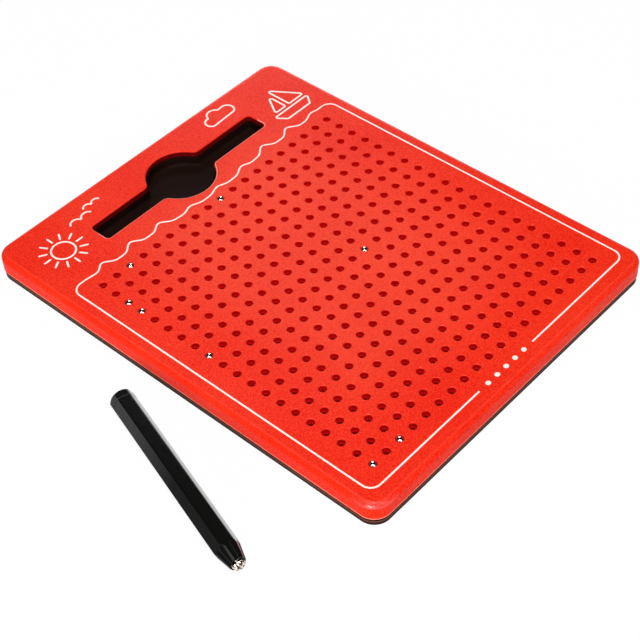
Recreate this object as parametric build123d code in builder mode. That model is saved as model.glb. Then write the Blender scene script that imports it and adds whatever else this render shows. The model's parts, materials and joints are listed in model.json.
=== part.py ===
from build123d import *
import os
from math import cos, radians, sin, sqrt

# Magnetic drawing board: steel balls under a perforated lid, and a pen with a magnet that lifts them.
# Millimetres. X runs across the board, Y towards the pen tray, Z up.
# The origin is the middle of the board's underside, and the pen lies beside the board on the same table.

# Ball grid
ball_columns = 19
ball_rows = 20
ball_pitch = 9.0
ball_diameter = 4.5
ball_travel = 4.4
# Row from the tray side and column from the left of each ball that stands up
raised_places = ((0, 2), (0, 9), (2, 0), (3, 0), (8, 0), (9, 11), (19, 0), (19, 2))

# Holes and wells round a ball
lip_overhang = 0.2
lip_thickness = 0.97
lip_gap = 0.05
rim_radius = 0.3
chamber_gap = 0.25
ball_rest_gap = 0.1
mat_hole_gap = 0.015

# Board outline
side_margin = 19.2
front_margin = 18.3
corner_radius = 9.0

# Lid
cover_plate = 3.2
cover_wall = 2.4
top_edge_radius = 3.0
skirt_edge_radius = 0.4
boss_inset = 8.5
boss_wall = 2.0
boss_roof = 1.0
locating_rib = 1.2
locating_depth = 4.0

# Plate and mat under the lid
plate_border = 4.5
plate_gap = 0.3
well_floor = 0.9
mat_thickness = 0.8

# Base
base_floor = 1.8
band_height = 4.0
band_inset = 0.3
band_edge_radius = 0.6
seam_gap = 0.1
seam_chamfer = 0.3
spigot_gap = 0.25
spigot_wall = 1.6
spigot_rise = 3.0
rib_height = 2.7
rib_thickness = 1.2
rib_columns = 5
rib_rows = 5
post_height = 2.7

# Pen tray
well_radius = 18.25
well_back_margin = 12.7
tray_gap = 2.9
tray_wall = 1.6
tray_inset = 0.15
tray_top_gap = 0.1
tray_floor_radius = 1.5
tray_edge_radius = 1.0
slot_end_gap = 0.4
slot_side_gap = 0.32
slot_corner_radius = 2.0
junction_radius = 4.0
pocket_depth = 3.6

# Screws
screw_radius = 1.15
screw_gap = 0.05
screw_length = 7.5
screw_tip = 1.0
screw_head_radius = 2.4
screw_head_height = 1.5
screw_head_gap = 0.3
screw_recess_depth = 2.0
screw_hole_gap = 0.15
driver_slot_width = 0.6
driver_slot_length = 2.8
driver_slot_depth = 0.8

# Pen
pen_length = 113.3
pen_sides = 6
pen_flats = 10.62
pen_edge_radius = 0.5
pen_nose_length = 10.2
pen_mouth_radius = 3.9
mouth_edge_radius = 0.3
pen_bore_radius = 3.8
pen_web = 2.5
pen_cap_length = 5.8
pen_dome_radius = 9.0
pen_shoulder_radius = 3.4
pen_shoulder_gap = 0.4
pen_cap_seam = 0.2
pen_plug_length = 9.0
pen_plug_gap = 0.05
pen_plug_wall = 1.2
magnet_radius = 3.0
magnet_gap = 0.05
magnet_length = 14.0
magnet_rise = 2.5
magnet_dome_radius = 4.2
magnet_edge_radius = 0.6
flute_radius = 2.6
flute_setback = 0.9
flute_mouth_depth = 0.25
pen_board_gap = 36.1
pen_rest_y = -41.2
pen_turn = 16.7

# Cuts run this far past the faces that they leave
overrun = 1.0

# Heights of the layers, from the underside up
ball_radius = ball_diameter / 2
hole_radius = ball_radius - lip_overhang
chamber_radius = ball_radius + chamber_gap
plate_bottom = base_floor + rib_height
well_bottom = plate_bottom + well_floor
lowered_height = well_bottom + ball_rest_gap + ball_radius
raised_height = lowered_height + ball_travel
lip_edge = raised_height + sqrt(ball_radius**2 - hole_radius**2) + lip_gap
board_height = lip_edge + lip_thickness
cover_underside = board_height - cover_plate
mat_bottom = cover_underside - mat_thickness
mat_hole_radius = sqrt(ball_radius**2 - (raised_height - cover_underside) ** 2) + mat_hole_gap
skirt_bottom = band_height + seam_gap
post_top = base_floor + post_height

# Plan of the board
field_width = (ball_columns - 1) * ball_pitch
field_length = (ball_rows - 1) * ball_pitch
plate_width = field_width + 2 * plate_border
plate_length = field_length + 2 * plate_border
plate_to_well = plate_border + plate_gap + locating_rib + tray_gap + tray_wall
tray_margin = plate_to_well + 2 * well_radius + well_back_margin
board_width = field_width + 2 * side_margin
board_length = front_margin + field_length + tray_margin
field_y = -board_length / 2 + front_margin + field_length / 2
tray_y = board_length / 2 - well_back_margin - well_radius
tray_floor = pocket_depth + base_floor
tray_top = cover_underside - tray_top_gap
spigot_inset = cover_wall + spigot_gap
hollow_inset = spigot_inset + spigot_wall
spigot_top = skirt_bottom + spigot_rise

# Section of the pen, and the slot that holds it
pen_apothem = pen_flats / 2
pen_corner = pen_flats / sqrt(3)
slot_length = pen_length + 2 * slot_end_gap
slot_width = 2 * pen_corner + 2 * slot_side_gap

# Screws stand at the corners, along the sides and at the ends
boss_radius = screw_radius + boss_wall
boss_x = board_width / 2 - boss_inset
boss_y = board_length / 2 - boss_inset
side_screw_share = 1 / 3
back_screw_share = 0.44
side_screw_y = side_screw_share * boss_y
back_screw_x = back_screw_share * boss_x
screw_places = [(x, y) for x in (-boss_x, boss_x) for y in (-boss_y, -side_screw_y, side_screw_y, boss_y)]
screw_places += [(0, -boss_y), (-back_screw_x, boss_y), (back_screw_x, boss_y)]


def board_outline(inset, mode=Mode.ADD):
    """Draw the board's rounded outline, drawn in by inset."""
    RectangleRounded(
        board_width - 2 * inset,
        board_length - 2 * inset,
        corner_radius - inset,
        mode=mode,
    )


def ball_place(row, column, height):
    """Centre of the ball in this row from the tray side and this column from the left."""
    x = column * ball_pitch - field_width / 2
    y = field_y + field_length / 2 - row * ball_pitch
    return (x, y, height)


def write(piece, name):
    """Label a finished piece and write its STEP file."""
    piece.label = name
    export_step(piece, f"parts/{name}.step")


os.makedirs("parts", exist_ok=True)

# The tray's outline: a slot for the pen with a round finger well across its middle
with BuildSketch() as tray_opening:
    with Locations((0, tray_y)):
        RectangleRounded(slot_length, slot_width, slot_corner_radius)
        Circle(well_radius)
    junctions = tray_opening.vertices().filter_by(lambda corner: abs(corner.X) < well_radius)
    fillet(junctions, junction_radius)

with BuildSketch() as tray_inside:
    add(tray_opening.sketch)
    offset(amount=-tray_inset, kind=Kind.ARC, mode=Mode.REPLACE)

with BuildSketch() as tray_outside:
    add(tray_opening.sketch)
    offset(amount=tray_wall, kind=Kind.ARC, mode=Mode.REPLACE)

# One ball hole, as the shape that is cut away: a rounded rim, a lip that the ball can't pass, and its chamber
with BuildPart() as ball_hole:
    with BuildSketch(Plane.XZ):
        with BuildLine():
            Polyline(
                (0, -cover_plate),
                (chamber_radius, -cover_plate),
                (chamber_radius, -lip_thickness),
                (hole_radius, -lip_thickness),
                (hole_radius, -rim_radius),
            )
            RadiusArc((hole_radius, -rim_radius), (hole_radius + rim_radius, 0), -rim_radius)
            Polyline((hole_radius + rim_radius, 0), (0, 0), (0, -cover_plate))
        make_face()
    revolve(axis=Axis.Z)

# Red lid: a shallow tray upside down, with a hole over every ball
with BuildPart() as top_cover:
    with BuildSketch(Plane.XY.offset(skirt_bottom)):
        board_outline(0)
    extrude(amount=board_height - skirt_bottom)
    fillet(top_cover.faces().sort_by(Axis.Z)[-1].edges(), top_edge_radius)
    fillet(top_cover.faces().sort_by(Axis.Z)[0].edges(), skirt_edge_radius)
    with BuildSketch(Plane.XY.offset(skirt_bottom)):
        board_outline(cover_wall)
    extrude(amount=cover_underside - skirt_bottom, mode=Mode.SUBTRACT)
    # Rib that locates the plate and the mat
    with BuildSketch(Plane.XY.offset(cover_underside - locating_depth)):
        with Locations((0, field_y)):
            Rectangle(
                plate_width + 2 * (plate_gap + locating_rib),
                plate_length + 2 * (plate_gap + locating_rib),
            )
            Rectangle(plate_width + 2 * plate_gap, plate_length + 2 * plate_gap, mode=Mode.SUBTRACT)
    extrude(amount=locating_depth)
    # Screw bosses down to the posts of the base
    with BuildSketch(Plane.XY.offset(post_top)):
        with Locations(*screw_places):
            Circle(boss_radius)
    extrude(amount=cover_underside - post_top)
    with BuildSketch(Plane.XY.offset(post_top)):
        with Locations(*screw_places):
            Circle(screw_radius + screw_gap)
    extrude(amount=cover_underside - boss_roof - post_top, mode=Mode.SUBTRACT)
    # Cut-out over the pen tray
    with BuildSketch(Plane.XY.offset(cover_underside)):
        add(tray_opening.sketch)
    extrude(amount=cover_plate, mode=Mode.SUBTRACT)
    tray_rim = top_cover.faces().sort_by(Axis.Z)[-1].inner_wires().edges()
    fillet(tray_rim, tray_edge_radius)
    with Locations((0, field_y, board_height)):
        with GridLocations(ball_pitch, ball_pitch, ball_columns, ball_rows):
            add(ball_hole.part, mode=Mode.SUBTRACT)
write(top_cover.part, "top_cover")

# Red plate with a well under every hole
with BuildPart() as bead_plate:
    with BuildSketch(Plane.XY.offset(plate_bottom)):
        with Locations((0, field_y)):
            Rectangle(plate_width, plate_length)
    extrude(amount=mat_bottom - plate_bottom)
    with Locations((0, field_y, mat_bottom)):
        with GridLocations(ball_pitch, ball_pitch, ball_columns, ball_rows):
            Hole(chamber_radius, depth=mat_bottom - well_bottom)
write(bead_plate.part, "bead_plate")

# Soft mat whose holes are a little smaller than the balls, so that a raised ball stays up
with BuildPart() as retaining_mat:
    with BuildSketch(Plane.XY.offset(mat_bottom)):
        with Locations((0, field_y)):
            Rectangle(plate_width, plate_length)
            with GridLocations(ball_pitch, ball_pitch, ball_columns, ball_rows):
                Circle(mat_hole_radius, mode=Mode.SUBTRACT)
    extrude(amount=mat_thickness)
write(retaining_mat.part, "retaining_mat")

# Black base: floor, outer band, spigot inside the skirt, ribs, screw posts and the pen tray
with BuildPart() as bottom_cover:
    with BuildSketch():
        board_outline(band_inset)
    extrude(amount=band_height)
    fillet(bottom_cover.faces().sort_by(Axis.Z)[0].edges(), band_edge_radius)
    chamfer(bottom_cover.faces().sort_by(Axis.Z)[-1].edges(), seam_chamfer)
    with BuildSketch(Plane.XY.offset(base_floor)):
        board_outline(spigot_inset)
    extrude(amount=spigot_top - base_floor)
    with BuildSketch(Plane.XY.offset(base_floor)):
        board_outline(hollow_inset)
    extrude(amount=spigot_top - base_floor, mode=Mode.SUBTRACT)
    # Ribs that carry the plate
    with BuildSketch(Plane.XY.offset(base_floor)):
        with Locations((0, field_y)):
            with GridLocations(plate_width / rib_columns, plate_length, rib_columns, 1):
                Rectangle(rib_thickness, plate_length)
            with GridLocations(plate_width, plate_length / rib_rows, 1, rib_rows):
                Rectangle(plate_width, rib_thickness)
    extrude(amount=rib_height)
    # Posts under the bosses
    with BuildSketch(Plane.XY.offset(base_floor)):
        with Locations(*screw_places):
            Circle(boss_radius)
    extrude(amount=post_height)
    # Pen tray, with a pocket of the same outline under its floor
    with BuildSketch():
        add(tray_outside.sketch)
    extrude(amount=tray_top)
    with BuildSketch(Plane.XY.offset(tray_floor)):
        add(tray_inside.sketch)
    extrude(amount=tray_top - tray_floor, mode=Mode.SUBTRACT)
    tray_floor_edges = bottom_cover.edges().filter_by_position(Axis.Z, tray_floor, tray_floor)
    fillet(tray_floor_edges, tray_floor_radius)
    with BuildSketch():
        add(tray_inside.sketch)
    extrude(amount=pocket_depth, mode=Mode.SUBTRACT)
    # Screw holes with recesses for the heads
    with Locations(Plane(origin=(0, 0, 0), x_dir=(1, 0, 0), z_dir=(0, 0, -1))):
        with Locations(*[(x, -y) for x, y in screw_places]):
            CounterBoreHole(
                screw_radius + screw_hole_gap,
                screw_head_radius + screw_head_gap,
                screw_recess_depth,
                depth=post_top,
            )
write(bottom_cover.part, "bottom_cover")

# Self-tapping screws that hold the base to the lid
with BuildPart() as screw:
    with BuildSketch(Plane.XZ):
        with BuildLine():
            Polyline(
                (0, screw_recess_depth - screw_head_height),
                (screw_head_radius, screw_recess_depth - screw_head_height),
                (screw_head_radius, screw_recess_depth),
                (screw_radius, screw_recess_depth),
                (screw_radius, screw_recess_depth + screw_length - screw_tip),
                (0, screw_recess_depth + screw_length),
                close=True,
            )
        make_face()
    revolve(axis=Axis.Z)
    with BuildSketch(Plane.XY.offset(screw_recess_depth - screw_head_height)):
        Rectangle(driver_slot_length, driver_slot_width)
        Rectangle(driver_slot_width, driver_slot_length)
    extrude(amount=driver_slot_depth, mode=Mode.SUBTRACT)

with BuildPart() as cover_screws:
    with Locations(*screw_places):
        add(screw.part)
write(cover_screws.part, "cover_screws")

# Each raised ball is a piece of its own
for row, column in raised_places:
    with BuildPart() as raised_ball:
        with Locations(ball_place(row, column, raised_height)):
            Sphere(ball_radius)
    write(raised_ball.part, f"raised_ball_r{row + 1:02d}_c{column + 1:02d}")

# The lowered balls lie in their wells, row by row
for row in range(ball_rows):
    lowered_columns = [column for column in range(ball_columns) if (row, column) not in raised_places]
    with BuildPart() as ball_row:
        with Locations(*[ball_place(row, column, lowered_height) for column in lowered_columns]):
            Sphere(ball_radius)
    write(ball_row.part, f"ball_row_{row + 1:02d}")

# The pen lies on one flat of its barrel, with its own plane at its middle and pointing to its mouth
pen_axis = (-sin(radians(pen_turn)), -cos(radians(pen_turn)), 0)
pen_side = (cos(radians(pen_turn)), -sin(radians(pen_turn)), 0)
pen_middle = (-board_width / 2 - pen_board_gap, pen_rest_y, pen_apothem)
pen_plane = Plane(origin=pen_middle, x_dir=pen_side, z_dir=pen_axis)
# In this second plane the pen's axis runs along the sketch's Y, for turned profiles
pen_profile_plane = Plane(origin=pen_middle, x_dir=pen_side, z_dir=(0, 0, -1))
pen_centre_line = Axis(pen_middle, pen_axis)

# Places along the pen, counted from its middle
pen_tail = -pen_length / 2
pen_tip = pen_length / 2
pen_mouth = pen_tip - magnet_rise
nose_start = pen_mouth - pen_nose_length
cap_seam = pen_tail + pen_cap_length
shoulder_reach = pen_corner + pen_shoulder_gap
shoulder = pen_tail + pen_dome_radius - sqrt(pen_dome_radius**2 - shoulder_reach**2)
magnet_seat = pen_tip - magnet_length
dome_height = magnet_dome_radius - sqrt(magnet_dome_radius**2 - magnet_radius**2)

with BuildSketch(Plane.XY) as pen_section:
    RegularPolygon(pen_corner, side_count=pen_sides)
    fillet(pen_section.vertices(), pen_edge_radius)

# Hexagonal barrel, turned down to a round mouth, with a flute in each flat of the nose
with BuildPart(pen_plane) as pen_barrel:
    with BuildSketch(pen_plane.offset(cap_seam)):
        add(pen_section.sketch)
    extrude(amount=pen_mouth - cap_seam)
    chamfer(pen_barrel.faces().sort_by(pen_centre_line)[0].edges(), pen_cap_seam)
    with BuildSketch(pen_profile_plane):
        with BuildLine():
            Polyline(
                (pen_corner, nose_start),
                (pen_mouth_radius, pen_mouth),
                (pen_corner + overrun, pen_mouth),
                (pen_corner + overrun, nose_start),
                close=True,
            )
        make_face()
    revolve(axis=pen_centre_line, mode=Mode.SUBTRACT)
    fillet(pen_barrel.faces().sort_by(pen_centre_line)[-1].edges(), mouth_edge_radius)
    for facet in range(pen_sides):
        facet_angle = radians((facet + 1 / 2) * 360 / pen_sides)
        outwards = pen_plane.x_dir * cos(facet_angle) + pen_plane.y_dir * sin(facet_angle)
        flute_start = (
            pen_plane.origin
            + pen_plane.z_dir * (nose_start + flute_setback)
            + outwards * (pen_apothem + flute_radius)
        )
        flute_end = (
            pen_plane.origin
            + pen_plane.z_dir * pen_mouth
            + outwards * (pen_mouth_radius - flute_mouth_depth + flute_radius)
        )
        flute_line = flute_end - flute_start
        with BuildSketch(Plane(origin=flute_start, z_dir=flute_line)):
            Circle(flute_radius)
        extrude(amount=flute_line.length + overrun, mode=Mode.SUBTRACT)
    with BuildSketch(pen_plane.offset(magnet_seat)):
        Circle(magnet_radius + magnet_gap)
    extrude(amount=pen_mouth - magnet_seat, mode=Mode.SUBTRACT)
    with BuildSketch(pen_plane.offset(cap_seam)):
        Circle(pen_bore_radius)
    extrude(amount=magnet_seat - pen_web - cap_seam, mode=Mode.SUBTRACT)
write(pen_barrel.part, "pen_barrel")

# Cap at the pen's tail, rounded off like an egg, with a hollow plug that sits in the barrel's bore
with BuildPart(pen_plane) as pen_end_cap:
    with BuildSketch(pen_plane.offset(pen_tail)):
        add(pen_section.sketch)
    extrude(amount=pen_cap_length)
    chamfer(pen_end_cap.faces().sort_by(pen_centre_line)[-1].edges(), pen_cap_seam)
    with BuildSketch(pen_profile_plane) as dome_profile:
        with BuildLine():
            RadiusArc((shoulder_reach, shoulder), (0, pen_tail), pen_dome_radius)
            Polyline(
                (0, pen_tail),
                (0, pen_tail - overrun),
                (shoulder_reach + overrun, pen_tail - overrun),
                (shoulder_reach + overrun, cap_seam),
                (shoulder_reach, cap_seam),
                (shoulder_reach, shoulder),
            )
        make_face()
        fillet(dome_profile.vertices().sort_by(Axis.Y)[3], pen_shoulder_radius)
    revolve(axis=pen_centre_line, mode=Mode.SUBTRACT)
    with BuildSketch(pen_plane.offset(cap_seam)):
        Circle(pen_bore_radius - pen_plug_gap)
    extrude(amount=pen_plug_length)
    with BuildSketch(pen_plane.offset(cap_seam)):
        Circle(pen_bore_radius - pen_plug_gap - pen_plug_wall)
    extrude(amount=pen_plug_length, mode=Mode.SUBTRACT)
write(pen_end_cap.part, "pen_end_cap")

# Plated magnet with a domed face, glued into the nose
with BuildPart(pen_plane) as pen_magnet:
    with BuildSketch(pen_profile_plane) as magnet_profile:
        with BuildLine():
            Polyline(
                (0, pen_tip),
                (0, magnet_seat),
                (magnet_radius, magnet_seat),
                (magnet_radius, pen_tip - dome_height),
            )
            RadiusArc((magnet_radius, pen_tip - dome_height), (0, pen_tip), -magnet_dome_radius)
        make_face()
        fillet(magnet_profile.vertices().sort_by(Axis.Y)[-2], magnet_edge_radius)
    revolve(axis=pen_centre_line)
write(pen_magnet.part, "pen_magnet")
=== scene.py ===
# %% [markdown]
# # Magnetic drawing board
# A flat toy: a red lid full of small holes, a steel ball under every hole, and a black pen with a magnet.
# The pieces come in finished as a fixed frame, at their real size. This lesson gives them their surfaces,
# prints the lid, and sets up a plain studio round them.

# %% Load the frame
import json
import math

import bmesh
import bpy
from mathutils import Matrix, Vector

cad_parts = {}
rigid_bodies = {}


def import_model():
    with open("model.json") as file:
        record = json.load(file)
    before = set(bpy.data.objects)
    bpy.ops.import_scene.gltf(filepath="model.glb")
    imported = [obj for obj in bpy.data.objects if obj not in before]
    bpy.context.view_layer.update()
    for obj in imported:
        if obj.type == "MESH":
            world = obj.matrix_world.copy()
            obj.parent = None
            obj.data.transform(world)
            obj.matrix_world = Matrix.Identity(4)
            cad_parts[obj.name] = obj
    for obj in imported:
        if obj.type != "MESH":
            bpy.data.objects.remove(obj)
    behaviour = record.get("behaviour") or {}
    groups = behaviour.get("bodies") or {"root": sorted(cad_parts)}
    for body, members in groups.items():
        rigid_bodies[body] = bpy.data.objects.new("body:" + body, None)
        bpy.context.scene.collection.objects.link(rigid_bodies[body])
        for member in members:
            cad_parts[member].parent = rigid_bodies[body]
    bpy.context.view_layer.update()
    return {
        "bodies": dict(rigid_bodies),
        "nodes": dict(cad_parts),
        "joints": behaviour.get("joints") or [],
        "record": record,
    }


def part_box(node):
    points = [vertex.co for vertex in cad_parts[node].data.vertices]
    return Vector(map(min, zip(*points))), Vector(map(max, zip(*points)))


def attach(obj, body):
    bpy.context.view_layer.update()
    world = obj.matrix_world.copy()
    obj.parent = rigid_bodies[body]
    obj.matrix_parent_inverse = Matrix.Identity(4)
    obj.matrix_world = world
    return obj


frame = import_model()
for part in ("nodes", "bodies", "joints"):
    print("frame holds", len(frame[part]), part)

# %% [markdown]
# Every length in Blender is in metres here, but a toy like this is easiest to think about in millimetres.
# So lengths are written in millimetres and multiplied by one constant. The lid's size and height are read
# from the box of the loaded piece, so nothing has to be fitted by eye.

# %% Sizes taken from the frame
MM = 0.001
lid_high = Vector(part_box("top_cover")[1])
lid_top = lid_high.z
half_width = lid_high.x
half_length = lid_high.y
print("lid %.1f x %.1f mm, top face at %.2f mm" % (2 * half_width / MM, 2 * half_length / MM, lid_top / MM))

# %% [markdown]
# The camera comes first, because every later choice is judged through it. The holes form a perfect grid, so
# the photograph fixes the camera very well: a long lens, fairly high, looking across the board's near left
# corner, and rolled by a few degrees. The three directions are kept as vectors, which is clearer than three
# Euler angles when a camera is rolled.

# %% Camera
camera_place = Vector((-392.84, -387.16, 539.2)) * MM
camera_right = Vector((0.66699, -0.74371, -0.04498)).normalized()
camera_back = Vector((-0.49461, -0.48712, 0.71977)).normalized()
camera_up = camera_back.cross(camera_right)

camera_data = bpy.data.cameras.new("camera")
camera_data.sensor_width = 36.0
camera_data.lens = 87.83
camera_data.clip_start = 10 * MM
camera = bpy.data.objects.new("camera", camera_data)
camera_axes = Matrix((camera_right, camera_up, camera_back)).transposed()
camera.matrix_world = Matrix.Translation(camera_place) @ camera_axes.to_4x4()
bpy.context.scene.collection.objects.link(camera)
bpy.context.scene.camera = camera
print("camera %.0f mm from the board's middle" % (camera_place.length / MM))

# %% [markdown]
# A material in Blender is a small graph of nodes. Two helpers keep the graphs readable: one makes an empty
# material with its shader, and one adds a node and fills in its inputs by name. What is the same all over a
# surface is set straight on the shader; only what varies is linked.

# %% Materials and nodes
def new_material(name, **constants):
    """A material with a Principled shader whose named inputs are set to constants."""
    material = bpy.data.materials.new(name)
    material.use_nodes = True
    shader = material.node_tree.nodes["Principled BSDF"]
    for socket, value in constants.items():
        shader.inputs[socket.replace("_", " ")].default_value = value
    return material, material.node_tree, shader


def add_node(tree, kind, inputs=None, **settings):
    """Add a node, set its properties, and set or link its inputs."""
    node = tree.nodes.new(kind)
    for key, value in settings.items():
        setattr(node, key, value)
    for socket, value in (inputs or {}).items():
        if isinstance(value, bpy.types.NodeSocket):
            tree.links.new(value, node.inputs[socket])
        else:
            node.inputs[socket].default_value = value
    return node


print("material helpers ready")

# %% [markdown]
# Most finishes need the same few steps: find where on the surface we are, make noise of a known size, stretch
# it to a useful range, and use it to mix colours or to raise a bump. The sizes are in millimetres, so a grain
# can be compared with the real one.

# %% Noise, ranges, colours and bumps
# The Mix node keeps its two colours and its result at these places among its sockets
FIRST_COLOUR, SECOND_COLOUR, MIXED_COLOUR = 6, 7, 2


def place_of(tree):
    """The surface point in metres, in the board's own frame."""
    return add_node(tree, "ShaderNodeTexCoord").outputs["Object"]


def noise(tree, size_mm, detail=3.0, roughness=0.5):
    """Noise whose blotches are about size_mm across."""
    inputs = {"Vector": place_of(tree), "Scale": 1 / (size_mm * MM), "Detail": detail, "Roughness": roughness}
    return add_node(tree, "ShaderNodeTexNoise", inputs).outputs["Fac"]


def spread(tree, value, low, high, start=0.3, stop=0.7):
    """Stretch a value between start and stop to run from low to high."""
    inputs = {"Value": value, "From Min": start, "From Max": stop, "To Min": low, "To Max": high}
    return add_node(tree, "ShaderNodeMapRange", inputs).outputs["Result"]


def combine(tree, operation, first, *others):
    """Fold values together, one math node for each further value."""
    for other in others:
        first = add_node(tree, "ShaderNodeMath", {0: first, 1: other}, operation=operation).outputs[0]
    return first


def mix_colours(tree, factor, first, second):
    """Mix two colours, each of them fixed or linked, by a factor that varies over the surface."""
    inputs = {"Factor": factor}
    for socket, colour in ((FIRST_COLOUR, first), (SECOND_COLOUR, second)):
        inputs[socket] = colour if isinstance(colour, bpy.types.NodeSocket) else (*colour, 1)
    return add_node(tree, "ShaderNodeMix", inputs, data_type="RGBA").outputs[MIXED_COLOUR]


def bump(tree, height, depth_mm, below=None):
    """Bump of depth_mm, on top of another bump when one is given."""
    inputs = {"Height": height, "Distance": depth_mm * MM}
    if below is not None:
        inputs["Normal"] = below
    return add_node(tree, "ShaderNodeBump", inputs).outputs["Normal"]


print("surface helpers ready")

# %% [markdown]
# Both covers are moulded in tools that were spark eroded, which leaves a fine leathery grain of pebbles a
# little over half a millimetre across. Voronoi cells give the pebbles and noise breaks them up. The grain
# also catches dust and light, so the colour is speckled on the same scale, with a very faint slow drift.

# %% Grained plastic
DRIFT_SIZE, DRIFT_SHARE = 45.0, 0.3
BLOTCH_START, BLOTCH_FULL = 0.53, 0.77
FINE_SHARE = 0.7
GRAIN_SMOOTHER, GRAIN_ROUGHER = 0.05, 0.07


def grained_plastic(name, colour, deep_colour, grain_mm, depth_mm, roughness):
    """Moulded plastic with a pebbled grain and a speckled colour; the colour is left to be linked."""
    material, tree, shader = new_material(name, IOR=1.46)
    cells = {"Vector": place_of(tree), "Scale": 1 / (grain_mm * MM), "Randomness": 1.0}
    pebbles = add_node(tree, "ShaderNodeTexVoronoi", cells, feature="SMOOTH_F1").outputs["Distance"]
    speckle = noise(tree, grain_mm, detail=2.0, roughness=0.6)
    drift = combine(tree, "MULTIPLY", noise(tree, DRIFT_SIZE, detail=1.0), DRIFT_SHARE)
    speckle_and_drift = combine(tree, "ADD", speckle, drift)
    blotches = spread(tree, speckle_and_drift, 0.0, 1.0, start=BLOTCH_START, stop=BLOTCH_FULL)
    colours = mix_colours(tree, blotches, deep_colour, colour)
    coarse = bump(tree, pebbles, depth_mm)
    tree.links.new(bump(tree, speckle, depth_mm * FINE_SHARE, below=coarse), shader.inputs["Normal"])
    uneven = spread(tree, speckle, roughness - GRAIN_SMOOTHER, roughness + GRAIN_ROUGHER)
    tree.links.new(uneven, shader.inputs["Roughness"])
    return material, tree, shader, colours


lid_red, lid_tree, lid_shader, lid_colours = grained_plastic(
    "lid_red", (0.93, 0.040, 0.013), (0.81, 0.012, 0.003), grain_mm=0.65, depth_mm=0.1, roughness=0.3
)
print("made", lid_red.name, "with", len(lid_tree.nodes), "nodes")

# %% [markdown]
# A moulded toy is never one even colour: edges wear, dust settles, and deep walls lie in shade. Here most
# zones paint light into the colour: painted highlights, a painted sheen and painted shade. Painting such
# zones by hand would tie them to one mesh. A mask that is worked out from the surface point does the same job
# on any mesh. One helper makes a mask between two heights, and one lays new colours over the old ones, zone
# after zone.

# %% Zones
def height_band(tree, low_mm, high_mm, soft_mm):
    """One between two heights over the table, zero outside, with soft ends."""
    height = add_node(tree, "ShaderNodeSeparateXYZ", {"Vector": place_of(tree)}).outputs["Z"]
    above = spread(tree, height, 0.0, 1.0, start=(low_mm - soft_mm) * MM, stop=low_mm * MM)
    below = spread(tree, height, 1.0, 0.0, start=high_mm * MM, stop=(high_mm + soft_mm) * MM)
    return combine(tree, "MULTIPLY", above, below)


def colour_zones(tree, colours, zones):
    """Lay new colours over the given ones. A zone is its masks, the share of its colour, and the colour."""
    for masks, share, zone_colour in zones:
        zone = combine(tree, "MULTIPLY", share, *masks)
        colours = mix_colours(tree, zone, colours, zone_colour)
    return colours


print("zone helpers ready")

# %% [markdown]
# On the lid, the depth below the top face tells the rims of the holes from the face itself. A box a little
# inside the outline tells the walls inside the holes and the tray from the outer walls, and the length along
# the board tells the tray from the holes and its near side from its far side.

# %% Masks of the lid
RIM_START, RIM_DEPTH, RIM_SOFT = 0.05, 0.3, 0.04
SHADE_DEPTH = 0.7
OUTER_WALL = 3.0
TRAY_START, TRAY_MIDDLE = 72.0, 93.55
top_mm = lid_top / MM

lid_x, lid_y, lid_z = add_node(lid_tree, "ShaderNodeSeparateXYZ", {"Vector": place_of(lid_tree)}).outputs
across = combine(lid_tree, "ABSOLUTE", lid_x, 0.0)
along = combine(lid_tree, "ABSOLUTE", lid_y, 0.0)
within_x = combine(lid_tree, "LESS_THAN", across, half_width - OUTER_WALL * MM)
within_y = combine(lid_tree, "LESS_THAN", along, half_length - OUTER_WALL * MM)
inside = combine(lid_tree, "MULTIPLY", within_x, within_y)
deep = spread(lid_tree, lid_z, 1.0, 0.0, start=(top_mm - SHADE_DEPTH) * MM, stop=(top_mm - RIM_DEPTH) * MM)
shade = combine(lid_tree, "MULTIPLY", inside, deep)
rims = height_band(lid_tree, top_mm - RIM_DEPTH, top_mm - RIM_START, RIM_SOFT)
in_tray = combine(lid_tree, "GREATER_THAN", lid_y, TRAY_START * MM)
near_side = combine(lid_tree, "LESS_THAN", lid_y, TRAY_MIDDLE * MM)
tray_rims = combine(lid_tree, "MULTIPLY", rims, inside, in_tray)
print("masks bring", lid_red.name, "to", len(lid_tree.nodes), "nodes")

# %% [markdown]
# A painted sheen lays a slightly lighter red over the field of holes that fades towards the border, and a
# faint painted highlight rings the rims of the holes. The near rim of the tray, where a fingertip slides in,
# carries the palest painted highlight, and the hem that stands on the black base a painted highlight line.
# The walls inside the holes lie in painted shade, and those of the tray are darkest.

# %% Red of the lid
BAND_TOP = 4.0
HEM_HEIGHT, HEM_SOFT = 1.0, 0.2
SHEEN_FADE_X = (40.0 * MM, 78.0 * MM)
SHEEN_FADE_Y = (66.0 * MM, 100.0 * MM)

hem = height_band(lid_tree, BAND_TOP, BAND_TOP + HEM_HEIGHT, HEM_SOFT)
painted_sheen_x = spread(lid_tree, across, 1.0, 0.0, *SHEEN_FADE_X)
painted_sheen_y = spread(lid_tree, along, 1.0, 0.0, *SHEEN_FADE_Y)
lid_zones = (
    # painted sheen: a lighter red over the middle of the field of holes
    ((painted_sheen_x, painted_sheen_y), 0.12, (1.0, 0.20, 0.11)),
    # painted highlight: a faint lighter ring on the rims of the holes
    ((rims,), 0.1, (1.0, 0.16, 0.11)),
    # painted highlight: the palest line along the near rim of the tray
    ((tray_rims, near_side), 0.7, (1.0, 0.45, 0.38)),
    # painted highlight: a pale line along the hem where the lid stands on the black base
    ((hem,), 0.8, (0.92, 0.26, 0.18)),
    ((shade,), 1.0, (0.95, 0.003, 0.002)),
    ((shade, in_tray), 1.0, (0.15, 0.002, 0.001)),
)
zoned_reds = colour_zones(lid_tree, lid_colours, lid_zones)
lid_tree.links.new(zoned_reds, lid_shader.inputs["Base Color"])
print("coloured", lid_red.name, "in", len(lid_zones), "zones")

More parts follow.
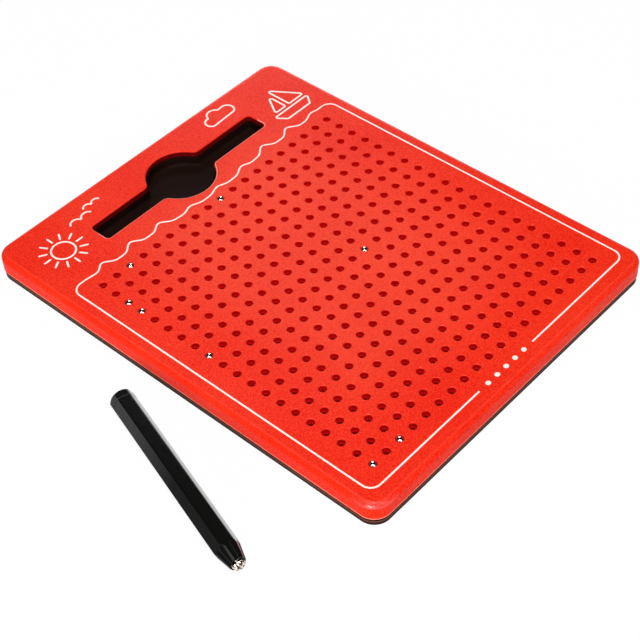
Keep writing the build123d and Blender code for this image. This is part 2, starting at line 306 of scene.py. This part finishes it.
# %% [markdown]
# The grained face hardly shines, or it would mirror the studio and look pale. The rims of the holes are
# smoother. The rounded edge of the near left corner, where the board is picked up, is polished enough to
# catch the key lamp in one small highlight. The largest of the three values wins at every point.

# %% Shine of the lid
FACE_SHINE, WALL_SHINE, RIM_SHINE = 0.09, 0.03, 0.3
EDGE_START, EDGE_DEPTH, EDGE_SOFT = 0.9, 2.2, 0.8
CORNER_START, CORNER_END = 8.0 * MM, 16.0 * MM

edge = height_band(lid_tree, top_mm - EDGE_DEPTH, top_mm - EDGE_START, EDGE_SOFT)
corner_x = spread(lid_tree, lid_x, 1.0, 0.0, CORNER_START - half_width, CORNER_END - half_width)
corner_y = spread(lid_tree, lid_y, 1.0, 0.0, CORNER_START - half_length, CORNER_END - half_length)
corner_shine = combine(lid_tree, "MULTIPLY", edge, corner_x, corner_y)
hole_rims = combine(lid_tree, "SUBTRACT", rims, tray_rims)
rim_shine = combine(lid_tree, "MULTIPLY", hole_rims, RIM_SHINE)
plain_shine = spread(lid_tree, deep, FACE_SHINE, WALL_SHINE, start=0.0, stop=1.0)
shine = combine(lid_tree, "MAXIMUM", plain_shine, corner_shine, rim_shine)
lid_tree.links.new(shine, lid_shader.inputs["Specular IOR Level"])
print("finished", lid_red.name, "with", len(lid_tree.nodes), "nodes")

# %% [markdown]
# The black base shows only as a band under the lid and as the floor of the tray. Where it meets the lid it
# steps back into a seam that no light reaches. Just below the seam its edge carries a paler brownish line,
# and the rest of the band is painted a lighter brown, a painted reflection of the white floor.

# %% Black base
SEAM_HEIGHT, SEAM_SOFT = 0.8, 0.1
LIGHT_BAND_START, LIGHT_BAND_SOFT = 0.3, 0.2
PALE_LINE = 1.1
BASE_SHINE = 0.025
seam_start = BAND_TOP - SEAM_HEIGHT

base_black, base_tree, base_shader, base_colours = grained_plastic(
    "base_black", (0.018, 0.008, 0.006), (0.010, 0.004, 0.003), grain_mm=0.5, depth_mm=0.02, roughness=0.4
)
painted_light_band = height_band(base_tree, LIGHT_BAND_START, seam_start, LIGHT_BAND_SOFT)
pale_line = height_band(base_tree, seam_start - PALE_LINE, seam_start, SEAM_SOFT)
seam = height_band(base_tree, seam_start, BAND_TOP + SEAM_SOFT, SEAM_SOFT)
base_zones = (
    # painted reflection: the band below the seam is painted a lighter brown for the white floor it mirrors
    ((painted_light_band,), 1.0, (0.035, 0.012, 0.007)),
    # a paler brownish line just below the seam
    ((pale_line,), 1.0, (0.135, 0.050, 0.034)),
    ((seam,), 1.0, (0.004, 0.001, 0.001)),
)
zoned_blacks = colour_zones(base_tree, base_colours, base_zones)
base_tree.links.new(zoned_blacks, base_shader.inputs["Base Color"])
base_shine = spread(base_tree, seam, BASE_SHINE, 0.0, start=0.0, stop=1.0)
base_tree.links.new(base_shine, base_shader.inputs["Specular IOR Level"])
print("made", base_black.name, "in", len(base_zones), "zones")

# %% [markdown]
# Inside the holes show the plate with the wells and the soft mat that grips a raised ball. Both are plain
# mouldings that nobody textures, so they get a smoother surface and a darker red, partly painted shade deep
# in the holes.

# %% Inner plastics
FLOW_SIZE, FLOW_DEPTH = 2.5, 0.01
FLOW_SHADE = 0.85
FLOW_ROUGHNESS = 0.06


def plain_plastic(name, colour, roughness):
    """Plain moulded plastic with faint flow marks."""
    material, tree, shader = new_material(name, IOR=1.46, Specular_IOR_Level=0.05)
    flow = noise(tree, FLOW_SIZE)
    darker = tuple(FLOW_SHADE * channel for channel in colour)
    uneven = spread(tree, flow, roughness - FLOW_ROUGHNESS, roughness + FLOW_ROUGHNESS)
    tree.links.new(mix_colours(tree, flow, darker, colour), shader.inputs["Base Color"])
    tree.links.new(uneven, shader.inputs["Roughness"])
    tree.links.new(bump(tree, flow, FLOW_DEPTH), shader.inputs["Normal"])
    return material


# darker red, partly painted shade inside the holes
plate_red = plain_plastic("plate_red", (0.64, 0.004, 0.003), roughness=0.5)
soft_mat = plain_plastic("soft_mat", (0.56, 0.004, 0.003), roughness=0.7)
print("made", plate_red.name, "and", soft_mat.name)

# %% [markdown]
# The balls are bearing steel and the screws are zinc plated. Polished metal is almost all reflection, so its
# look depends on what stands round it. Very fine scratches, far smaller than a ball, keep the highlights
# from looking computed.

# %% Steel
SCRATCH_SHADE = 0.9
SCRATCH_ROUGHNESS = 0.08
SCRATCH_DEPTH = 0.004


def polished_metal(name, colour, roughness, scratch_mm):
    """Bright metal with hairline scratches and a slightly uneven polish."""
    material, tree, shader = new_material(name, Metallic=1.0)
    scratches = noise(tree, scratch_mm, detail=6.0, roughness=0.7)
    darker = tuple(SCRATCH_SHADE * channel for channel in colour)
    uneven = spread(tree, scratches, roughness, roughness + SCRATCH_ROUGHNESS)
    tree.links.new(mix_colours(tree, scratches, darker, colour), shader.inputs["Base Color"])
    tree.links.new(uneven, shader.inputs["Roughness"])
    tree.links.new(bump(tree, scratches, SCRATCH_DEPTH), shader.inputs["Normal"])
    return material, tree, shader


ball_steel = polished_metal("ball_steel", (0.78, 0.78, 0.77), roughness=0.06, scratch_mm=0.6)[0]
screw_steel = polished_metal("screw_steel", (0.55, 0.55, 0.53), roughness=0.28, scratch_mm=0.4)[0]
print("made", ball_steel.name, "and", screw_steel.name)

# %% [markdown]
# The magnet in the pen is nickel plated and knocks against steel all day. Shallow dents scatter its
# reflections, and dark brown patches in its colour are painted dark reflections. It starts as the same
# polished metal. What feeds the shader is then taken up again: a bump with the dents goes below the
# scratches, and the painted dark reflections are mixed over the metal's colour.

# %% Magnet
DENT_SIZE, DENT_DEPTH = 1.6, 1.4
DARK_REFLECTION_SIZE, DARK_REFLECTION_SHARE = 1.1, 0.95
DARK_REFLECTION_FULL, DARK_REFLECTION_END = 0.42, 0.5
DARK_REFLECTION_BROWN = (0.05, 0.02, 0.01)

magnet_nickel, magnet_tree, magnet_shader = polished_metal(
    "magnet_nickel", (0.88, 0.81, 0.73), roughness=0.05, scratch_mm=0.8
)
nickel = magnet_shader.inputs["Base Color"].links[0].from_socket
scratch_bump = magnet_shader.inputs["Normal"].links[0].from_node
dents = bump(magnet_tree, noise(magnet_tree, DENT_SIZE, detail=1.0), DENT_DEPTH)
magnet_tree.links.new(dents, scratch_bump.inputs["Normal"])
# painted dark reflections: dark brown patches mixed over the nickel
patches = noise(magnet_tree, DARK_REFLECTION_SIZE, detail=0.0)
painted_reflections = spread(magnet_tree, patches, DARK_REFLECTION_SHARE, 0.0, start=DARK_REFLECTION_FULL, stop=DARK_REFLECTION_END)
with_painted_reflections = mix_colours(magnet_tree, painted_reflections, nickel, DARK_REFLECTION_BROWN)
magnet_tree.links.new(with_painted_reflections, magnet_shader.inputs["Base Color"])
print("made", magnet_nickel.name, "with", len(magnet_tree.nodes), "nodes")

# %% [markdown]
# The pen is glossy black plastic. Its flats are not quite flat: the mould leaves a faint waviness that bends
# the reflections, and handling leaves fine marks that show only in the shine.

# %% Pen black
WAVE_SIZE, WAVE_DEPTH = 9.0, 0.05
MARK_SIZE, MARK_DEPTH = 0.7, 0.003
MARK_LIGHT = 1.5
MARK_ROUGHNESS = 0.09


def glossy_plastic(name, colour, roughness):
    """Polished plastic with faint waviness and handling marks."""
    material, tree, shader = new_material(name, IOR=1.34, Coat_Roughness=0.04)
    waves = bump(tree, noise(tree, WAVE_SIZE, detail=1.0), WAVE_DEPTH)
    marks = noise(tree, MARK_SIZE, detail=6.0, roughness=0.7)
    lighter = tuple(MARK_LIGHT * channel for channel in colour)
    uneven = spread(tree, marks, roughness, roughness + MARK_ROUGHNESS)
    tree.links.new(mix_colours(tree, marks, colour, lighter), shader.inputs["Base Color"])
    tree.links.new(uneven, shader.inputs["Roughness"])
    tree.links.new(bump(tree, marks, MARK_DEPTH, below=waves), shader.inputs["Normal"])
    return material, tree, shader


pen_black, pen_tree, pen_shader = glossy_plastic("pen_black", (0.004, 0.0038, 0.0036), roughness=0.08)
print("made", pen_black.name)

# %% [markdown]
# A pen in daily use does not shine the same all round. The flat under the thumb grows dull towards the nose,
# and the flat on the other side keeps its full polish, as under a clear coat. The pen lies turned by a known
# angle, so a distance from its middle, measured along it or square to it, is enough to find both flats.

# %% Wear of the pen
PEN_TURN = math.radians(16.7)
FLAT_START, FLAT_FULL = 2.9 * MM, 3.2 * MM
GRIP_START, GRIP_FULL = -38.0 * MM, 4.0 * MM
FRESH_SHINE, DULL_SHINE = 0.5, 0.07
pen_middle = sum((Vector(corner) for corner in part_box("pen_barrel")), Vector()) / 2
to_nose = Vector((-math.sin(PEN_TURN), -math.cos(PEN_TURN), 0.0))
to_thumb = Vector((-math.cos(PEN_TURN), math.sin(PEN_TURN), 0.0))


def ramp_towards(tree, direction, start, stop):
    """Rises from 0 to 1 between two distances from the pen's middle, measured along a direction."""
    places = {0: place_of(tree), 1: pen_middle}
    from_middle = add_node(tree, "ShaderNodeVectorMath", places, operation="SUBTRACT").outputs["Vector"]
    arrows = {0: from_middle, 1: direction}
    distance = add_node(tree, "ShaderNodeVectorMath", arrows, operation="DOT_PRODUCT").outputs["Value"]
    return spread(tree, distance, 0.0, 1.0, start, stop)


thumb_flat = ramp_towards(pen_tree, to_thumb, FLAT_START, FLAT_FULL)
far_flat = ramp_towards(pen_tree, -to_thumb, FLAT_START, FLAT_FULL)
grip = ramp_towards(pen_tree, to_nose, GRIP_START, GRIP_FULL)
handled = combine(pen_tree, "MULTIPLY", thumb_flat, grip)
pen_shine = spread(pen_tree, handled, FRESH_SHINE, DULL_SHINE, start=0.0, stop=1.0)
pen_tree.links.new(pen_shine, pen_shader.inputs["Specular IOR Level"])
pen_tree.links.new(far_flat, pen_shader.inputs["Coat Weight"])
print("pen's middle at %.1f, %.1f mm" % (pen_middle.x / MM, pen_middle.y / MM))

# %% [markdown]
# Each loaded piece gets its material by putting it in the piece's material slots. The meshes themselves are
# left alone. Every ball has the same steel, and a piece that is neither a ball nor in the table belongs to
# the pen.

# %% Dress the loaded pieces
FINISHES = {
    "top_cover": lid_red,
    "bead_plate": plate_red,
    "retaining_mat": soft_mat,
    "bottom_cover": base_black,
    "cover_screws": screw_steel,
    "pen_magnet": magnet_nickel,
}

for node_name, node in frame["nodes"].items():
    finish = ball_steel if "ball" in node_name else FINISHES.get(node_name, pen_black)
    node.data.materials.clear()
    node.data.materials.append(finish)
print("dressed", len(frame["nodes"]), "pieces")

# %% [markdown]
# The lid is printed in white. Screen print is a film of ink that covers a little unevenly, so its colour and
# its shine vary by a trace from place to place.

# %% White ink
INK_GRAIN = 0.8
INK_RELIEF = 0.01
INK_SMOOTH, INK_ROUGH = 0.4, 0.6
INK_THIN, INK_FULL = (0.88, 0.82, 0.74), (0.92, 0.88, 0.81)

ink_white, ink_tree, ink_shader = new_material("ink_white", IOR=1.5)
ink_cover = noise(ink_tree, INK_GRAIN)
ink_colours = mix_colours(ink_tree, spread(ink_tree, ink_cover, 0.0, 1.0), INK_THIN, INK_FULL)
ink_tree.links.new(ink_colours, ink_shader.inputs["Base Color"])
ink_tree.links.new(spread(ink_tree, ink_cover, INK_SMOOTH, INK_ROUGH), ink_shader.inputs["Roughness"])
ink_tree.links.new(bump(ink_tree, ink_cover, INK_RELIEF), ink_shader.inputs["Normal"])
print("made", ink_white.name)

# %% [markdown]
# Real ink lies a few hundredths of a millimetre thick and its strokes end round. A texture could fake it,
# but a thin ribbon of real geometry stays sharp from any distance and catches the light at its edges. The
# first step is a chain of places along a path, each with the direction across it and half the ribbon's width
# there. At an open end a few narrower places round the stroke off.

# %% Places along a ribbon
INK_WIDTH = 0.9
INK_END = 0.01
END_TURNS = (0.0, 0.35, 0.8, 1.2)


def ribbon_places(points, width, closed):
    """Points along the path, each with its sideways direction and half width; open ends are rounded off."""
    places = []
    count = len(points)
    for index, point in enumerate(points):
        before = points[index - 1] if closed or index else point
        after = points[(index + 1) % count] if closed or index < count - 1 else point
        ahead = (after - before).normalized()
        places.append((point, Vector((-ahead.y, ahead.x)), width / 2))
    if closed:
        return places
    first, last = [], []
    for (point, side, half), end, way in ((places[0], first, 1), (places[-1], last, -1)):
        ahead = Vector((side.y, -side.x)) * way
        for turn in END_TURNS:
            end.append((point - ahead * math.cos(turn) * half, side, math.sin(turn) * half + INK_END))
    return first + places + last[::-1]


print("ribbon ends in", len(END_TURNS), "steps")

# %% [markdown]
# The second step sweeps a low crowned section along those places. Paths are drawn in millimetres on the
# lid's top face. The ribbon's lower side sinks a little into the lid, so no gap can show under the ink.

# %% Ink ribbon
INK_LIFT, INK_SINK = 0.05, 0.03
# Section of the ribbon: share of the half width, and share of the lift or, where negative, of the sink
INK_SECTION = ((-1.0, -1.0), (-1.0, 0.3), (-0.75, 0.85), (0.0, 1.0), (0.75, 0.85), (1.0, 0.3), (1.0, -1.0))


def add_ribbon(mesh, points, width=INK_WIDTH, closed=False):
    """Sweep the ink section along a path given in millimetres on the lid's top face."""
    rings = []
    for point, side, half in ribbon_places(points, width, closed):
        ring = []
        for side_share, height_share in INK_SECTION:
            spot = point + side * half * side_share
            height = height_share * (INK_LIFT if height_share > 0 else INK_SINK)
            ring.append(mesh.verts.new((spot.x * MM, spot.y * MM, lid_top + height * MM)))
        rings.append(ring)
    count = len(INK_SECTION)
    for index in range(len(rings) if closed else len(rings) - 1):
        here, there = rings[index], rings[(index + 1) % len(rings)]
        for corner in range(count):
            after = (corner + 1) % count
            mesh.faces.new((here[corner], there[corner], there[after], here[after]))
    if not closed:
        mesh.faces.new(rings[0])
        mesh.faces.new(rings[-1][::-1])


print("ink stands", INK_LIFT, "mm above the lid")

# %% [markdown]
# Every printed motif ends the same way: its ribbons become one smooth mesh with the ink on it. The piece
# rides on the board's body, so it moves with the lid, and its material slot has the name of the ink.

# %% Printed pieces
def finish_print(mesh, name):
    """Turn a finished ribbon mesh into a printed piece that rides on the board."""
    bmesh.ops.recalc_face_normals(mesh, faces=mesh.faces)
    data = bpy.data.meshes.new(name)
    mesh.to_mesh(data)
    mesh.free()
    data.polygons.foreach_set("use_smooth", [True] * len(data.polygons))
    data.materials.append(ink_white)
    piece = bpy.data.objects.new(name, data)
    bpy.context.scene.collection.objects.link(piece)
    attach(piece, "board")
    print(name, len(data.polygons), "faces")


print("print helper ready")

# %% [markdown]
# Paths are built from two simple parts. Straight runs with rounded corners make frames and hulls, and arcs
# make suns, wings and clouds. Both return evenly spaced points, so every ribbon has the same fineness.

# %% Runs and arcs
PATH_STEP = 0.7
ARC_STEPS = 3


def even_steps(start, stop):
    """Points from start towards stop, evenly spaced, without the last one."""
    steps = max(1, round((stop - start).length / PATH_STEP))
    return [start.lerp(stop, step / steps) for step in range(steps)]


def arc_points(centre, radius, start_degrees, stop_degrees):
    """Points on an arc, both ends included."""
    sweep = math.radians(stop_degrees - start_degrees)
    steps = max(ARC_STEPS, round(abs(sweep) * radius / PATH_STEP))
    turns = (math.radians(start_degrees) + sweep * step / steps for step in range(steps + 1))
    return [Vector((centre[0] + radius * math.cos(t), centre[1] + radius * math.sin(t))) for t in turns]


print("paths in steps of", PATH_STEP, "mm")

# %% [markdown]
# A path with rounded corners is worked out corner by corner. The arc that touches both runs has its centre
# on the line that halves the corner, and the runs between the arcs are filled in afterwards.

# %% Rounded paths
def rounded_path(corners, radius, closed=False):
    """Straight runs between the corners, each corner rounded by an arc of this radius."""
    spots = [Vector(corner) for corner in corners]
    count = len(spots)
    pieces = []
    for index, spot in enumerate(spots):
        if not closed and index in (0, count - 1):
            pieces.append([spot])
            continue
        back = (spots[index - 1] - spot).normalized()
        ahead = (spots[(index + 1) % count] - spot).normalized()
        half = back.angle(ahead) / 2
        centre = spot + (back + ahead).normalized() * radius / math.sin(half)
        start = spot + back * radius / math.tan(half) - centre
        stop = spot + ahead * radius / math.tan(half) - centre
        begin = math.degrees(math.atan2(start.y, start.x))
        sweep = -math.degrees(start.angle_signed(stop))
        pieces.append(arc_points(centre, radius, begin, begin + sweep))
    points = []
    for index, piece in enumerate(pieces):
        points += piece
        following = pieces[(index + 1) % count]
        if closed or index < count - 1:
            points += even_steps(piece[-1], following[0])[1:]
    return points


print("path helpers ready")

# %% [markdown]
# The border runs round the ball field as one stroke. On three sides it is a plain line with rounded corners.
# On the tray side it turns into little waves, the surface of a sea, and stays calm in front of the finger
# well, where there is little room between the well and the first row of holes.

# %% Border and sea
BORDER_X = 93.0
BORDER_FRONT_Y = -116.05
BORDER_RADIUS = 5.5
GAP_HALF = 20.0
SEA_END = 84.0
SEA_FADE = 12.0
SEA_WAVE = 19.0
SEA_NARROW = 30.0
SEA_Y, SEA_CALM_Y = 74.0, 70.8
SEA_SWELL, SEA_CALM_SWELL = 2.0, 1.0


def sea_height(x):
    """Height of the sea line at x: rolling waves that calm down in front of the finger well."""
    calm = math.exp(-((x / SEA_NARROW) ** 4))
    middle = SEA_Y + (SEA_CALM_Y - SEA_Y) * calm
    swell = SEA_SWELL + (SEA_CALM_SWELL - SEA_SWELL) * calm
    fade = min(1.0, (SEA_END - abs(x)) / SEA_FADE)
    turn = 2 * math.pi * x / SEA_WAVE
    return middle + fade * swell * (math.sin(turn) - math.cos(2 * turn) / 4)


def border_path():
    """From the gap in the front line round the left side, over the sea and back to the gap."""
    front = [(-GAP_HALF, BORDER_FRONT_Y), (-BORDER_X, BORDER_FRONT_Y)]
    back = [(-BORDER_X, SEA_Y), (-SEA_END, SEA_Y)]
    left = rounded_path(front + back, BORDER_RADIUS)
    right = [Vector((-point.x, point.y)) for point in reversed(left)]
    steps = round(2 * SEA_END / PATH_STEP)
    places = (-SEA_END + 2 * SEA_END * step / steps for step in range(1, steps))
    return left + [Vector((x, sea_height(x))) for x in places] + right


border = bmesh.new()
add_ribbon(border, border_path())
finish_print(border, "printed_border")

# %% [markdown]
# Pictures in the free corners beside the tray give the line something to do. The first is a sun, a closed
# ring with a loop of short rays. Its stroke is a little wider than the border's.

# %% Sun
PICTURE_LINE = 1.05
SUN_CENTRE = Vector((-77.0, 98.0))
SUN_RADIUS = 6.2
RAY_INNER, RAY_OUTER = 8.6, 12.2
RAY_COUNT = 12

sun = bmesh.new()
add_ribbon(sun, arc_points(SUN_CENTRE, SUN_RADIUS, 0, 360)[:-1], PICTURE_LINE, closed=True)
for ray in range(RAY_COUNT):
    turn = 2 * math.pi * ray / RAY_COUNT
    way = Vector((math.cos(turn), math.sin(turn)))
    reaches = (RAY_INNER, (RAY_INNER + RAY_OUTER) / 2, RAY_OUTER)
    add_ribbon(sun, [SUN_CENTRE + way * reach for reach in reaches], PICTURE_LINE)
finish_print(sun, "printed_sun")

# %% [markdown]
# Two gulls fly beside the sun. A child draws a gull as two arcs that meet in a dip, and so does this cell;
# each gull is a place and the radius of its wings.

# %% Gulls
GULLS = ((-56.0, 108.5, 3.6), (-45.0, 113.0, 2.8))
WING_DROP_SHARE = 0.4
LEFT_WING = (150, 25)
RIGHT_WING = (155, 30)

gulls = bmesh.new()
for gull_x, gull_y, wing in GULLS:
    wing_y = gull_y - wing * WING_DROP_SHARE
    add_ribbon(gulls, arc_points((gull_x - wing, wing_y), wing, *LEFT_WING), PICTURE_LINE)
    add_ribbon(gulls, arc_points((gull_x + wing, wing_y), wing, *RIGHT_WING), PICTURE_LINE)
finish_print(gulls, "printed_gulls")

# %% [markdown]
# On the other side of the tray sails a boat. Its hull and its two sails are closed outlines with slightly
# rounded corners, given by their corner points round the boat's own place.

# %% Boat
BOAT_PLACE = Vector((77.0, 82.0))
BOAT_CORNER = 0.9
HULL = ((-13.0, 5.0), (13.0, 5.0), (8.5, -1.0), (-8.5, -1.0))
MAIN_SAIL = ((1.2, 7.5), (1.2, 25.0), (12.5, 7.5))
FORE_SAIL = ((-1.6, 7.5), (-1.6, 20.5), (-9.5, 7.5))

boat = bmesh.new()
for outline in (HULL, MAIN_SAIL, FORE_SAIL):
    corners = [BOAT_PLACE + Vector(corner) for corner in outline]
    add_ribbon(boat, rounded_path(corners, BOAT_CORNER, closed=True), PICTURE_LINE, closed=True)
finish_print(boat, "printed_boat")

# %% [markdown]
# A cloud hangs beside the sails. It is three puffs, arcs whose ends are joined by the closed ribbon, so its
# flat underside needs no path of its own.

# %% Cloud
CLOUD_PLACE = Vector((48.0, 111.0))
# Place of each puff, its radius, and the degrees at which its arc starts and stops
PUFFS = ((-7.5, 0.0, 3.6, 250, 80), (-2.2, 3.0, 4.4, 165, 25), (5.2, 1.2, 4.0, 105, -70))

cloud = bmesh.new()
cloud_points = []
for puff_x, puff_y, radius, start, stop in PUFFS:
    cloud_points += arc_points(CLOUD_PLACE + Vector((puff_x, puff_y)), radius, start, stop)
add_ribbon(cloud, cloud_points, PICTURE_LINE, closed=True)
finish_print(cloud, "printed_cloud")

# %% [markdown]
# The gap in the front line holds a row of dots, round like the balls but smaller. A dot is the shortest of
# strokes, so its two round ends make nearly the whole of it.

# %% Dots
DOT_RADIUS = 1.3
DOT_SPACING = 6.6
DOT_COUNT = 5
DOT_STROKE = Vector((0.05, 0.0))

dots = bmesh.new()
for dot in range(DOT_COUNT):
    dot_place = Vector(((dot - (DOT_COUNT - 1) / 2) * DOT_SPACING, BORDER_FRONT_Y))
    add_ribbon(dots, [dot_place - DOT_STROKE, dot_place + DOT_STROKE], 2 * DOT_RADIUS)
finish_print(dots, "printed_dots")

# %% [markdown]
# The studio is a white floor and soft lights. The floor is one large square, a hair below the board's
# underside, so that the two faces never lie in one plane.

# %% Floor
FLOOR_HALF = 6.0
FLOOR_DROP = 0.02
SQUARE = ((-1, -1), (1, -1), (1, 1), (-1, 1))

floor_data = bpy.data.meshes.new("floor")
floor_corners = [(x * FLOOR_HALF, y * FLOOR_HALF, -FLOOR_DROP * MM) for x, y in SQUARE]
floor_data.from_pydata(floor_corners, [], [(0, 1, 2, 3)])
floor = bpy.data.objects.new("floor", floor_data)
bpy.context.scene.collection.objects.link(floor)
print("floor %.0f m wide" % (2 * FLOOR_HALF))

# %% [markdown]
# The camera sees the floor mostly as plain white, with a little of its real shading mixed in, so that the
# board keeps a soft contact shadow. Reflections see the same white, which gives the pen's flats their pale
# edges. All other light meets the floor's real surface.

# %% White of the floor
GLOW_SHARE = 0.96

floor_white, floor_tree, floor_shader = new_material(
    "floor_white", Base_Color=(0.95, 0.95, 0.95, 1), Roughness=0.9
)
glow = add_node(floor_tree, "ShaderNodeEmission", {"Color": (1, 1, 1, 1), "Strength": 1.0})
rays = add_node(floor_tree, "ShaderNodeLightPath").outputs
seen = combine(
    floor_tree, "MAXIMUM", rays["Is Camera Ray"], rays["Is Glossy Ray"], rays["Is Transmission Ray"]
)
glow_share = combine(floor_tree, "MULTIPLY", seen, GLOW_SHARE)
floor_look = {0: glow_share, 1: floor_shader.outputs[0], 2: glow.outputs[0]}
floor_mix = add_node(floor_tree, "ShaderNodeMixShader", floor_look)
floor_tree.links.new(floor_mix.outputs[0], floor_tree.nodes["Material Output"].inputs["Surface"])
floor_data.materials.append(floor_white)
print("made", floor_white.name)

# %% [markdown]
# The room round the studio is pale near the floor and dim overhead, as a dark ceiling above light walls.
# A dim ceiling keeps the red of the lid and the black of the pen deep, because both mirror the ceiling.

# %% Room
WALL_TOP, CEILING_START = 0.1, 0.7
WALL_LIGHT, CEILING_LIGHT = 1.0, 0.15

world = bpy.data.worlds.new("room")
bpy.context.scene.world = world
world.use_nodes = True
room_tree = world.node_tree
heading = add_node(room_tree, "ShaderNodeTexCoord").outputs["Generated"]
up = add_node(room_tree, "ShaderNodeSeparateXYZ", {"Vector": heading}).outputs["Z"]
brightness = spread(room_tree, up, WALL_LIGHT, CEILING_LIGHT, start=WALL_TOP, stop=CEILING_START)
room_tree.links.new(brightness, room_tree.nodes["Background"].inputs["Strength"])
print("made", world.name)

# %% [markdown]
# A toy in a catalogue is lit from several soft boxes. The key lamp is small and high over the near corner and
# draws the highlight on the corner and in the balls. Large lamps at the left and the front fill the top face,
# a low one at the side lights the lid's left wall, a faint one behind lays a sheen over the field, and a low
# one at the back lights the far edges. All of them point at the middle of the board.

# %% Lamps
# Place in metres, size of the square in metres, and power in watts
LAMPS = {
    "key_lamp": ((-0.31, -0.27, 1.45), 0.12, 12.0),
    "left_lamp": ((-0.9, 0.0, 1.3), 0.9, 4.5),
    "fill_lamp": ((-0.1, -1.1, 1.1), 0.9, 6.0),
    "side_lamp": ((-1.5, -0.7, 0.25), 0.5, 14.0),
    "sheen_lamp": ((0.55, 0.65, 0.84), 0.25, 1.2),
    "rim_lamp": ((1.3, 1.3, 0.45), 0.7, 10.0),
}

for lamp_name, (lamp_place, lamp_size, lamp_power) in LAMPS.items():
    lamp_data = bpy.data.lights.new(lamp_name, "AREA")
    lamp_data.size = lamp_size
    lamp_data.energy = lamp_power
    lamp = bpy.data.objects.new(lamp_name, lamp_data)
    lamp.location = lamp_place
    lamp.rotation_euler = (-Vector(lamp_place)).to_track_quat("-Z", "Y").to_euler()
    bpy.context.scene.collection.objects.link(lamp)
print("hung", len(LAMPS), "lamps")

# %% [markdown]
# Last come the plain view settings.

# %% View settings
bpy.context.scene.view_settings.view_transform = "Standard"
